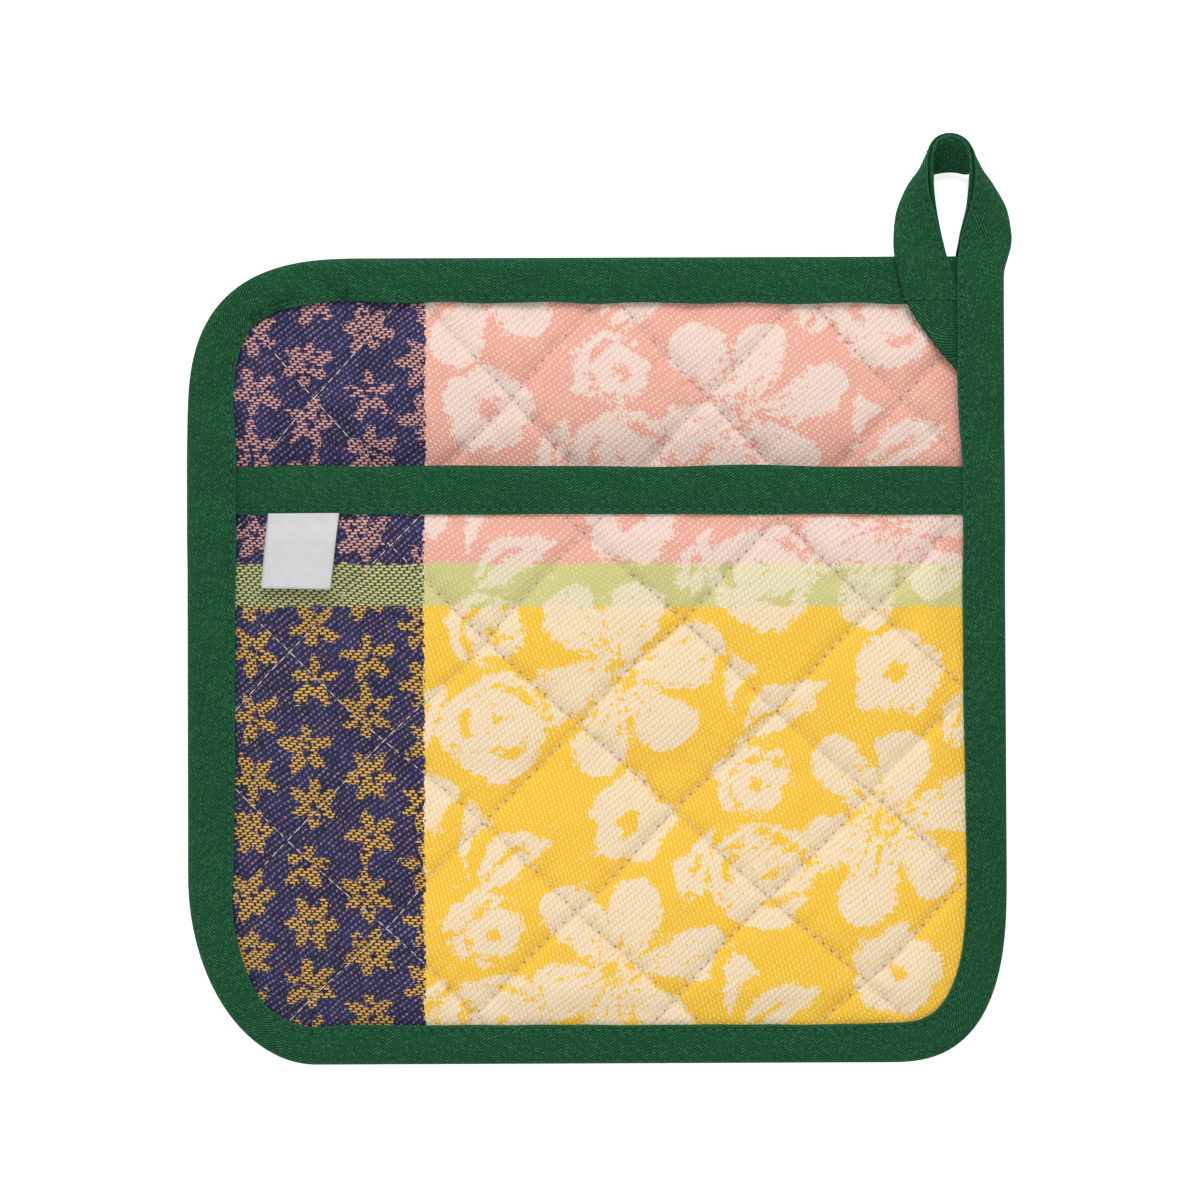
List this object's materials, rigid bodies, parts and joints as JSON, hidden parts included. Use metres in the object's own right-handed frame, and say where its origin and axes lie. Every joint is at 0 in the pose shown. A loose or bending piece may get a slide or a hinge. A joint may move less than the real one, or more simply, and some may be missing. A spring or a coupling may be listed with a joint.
{
  "type": "pot holder",
  "caption": "Square quilted pocket pot holder with a bound edge, a banded pocket, a blank sewn-in label and a corner hanging loop, lying face up.",
  "frame": {"origin": "centre of the square pad on its underside", "axes": "+Z out of the pad's face, +Y towards the edge with the hanging loop, +X towards the side that carries the loop"},
  "size_m": [0.2048, 0.2306, 0.0164],
  "materials": {
    "pad_jacquard": "matt figured cotton weave",
    "pocket_jacquard": "matt figured cotton weave",
    "binding_twill": "matt fine twill",
    "label_ribbon": "smooth ribbon"
  },
  "bodies": {
    "root": {"back_pad": "pad_jacquard", "pocket_panel": "pocket_jacquard", "outer_binding": "binding_twill", "pocket_binding": "binding_twill", "hanging_loop": "binding_twill", "sewn_label": "label_ribbon"}
  },
  "joints": []
}
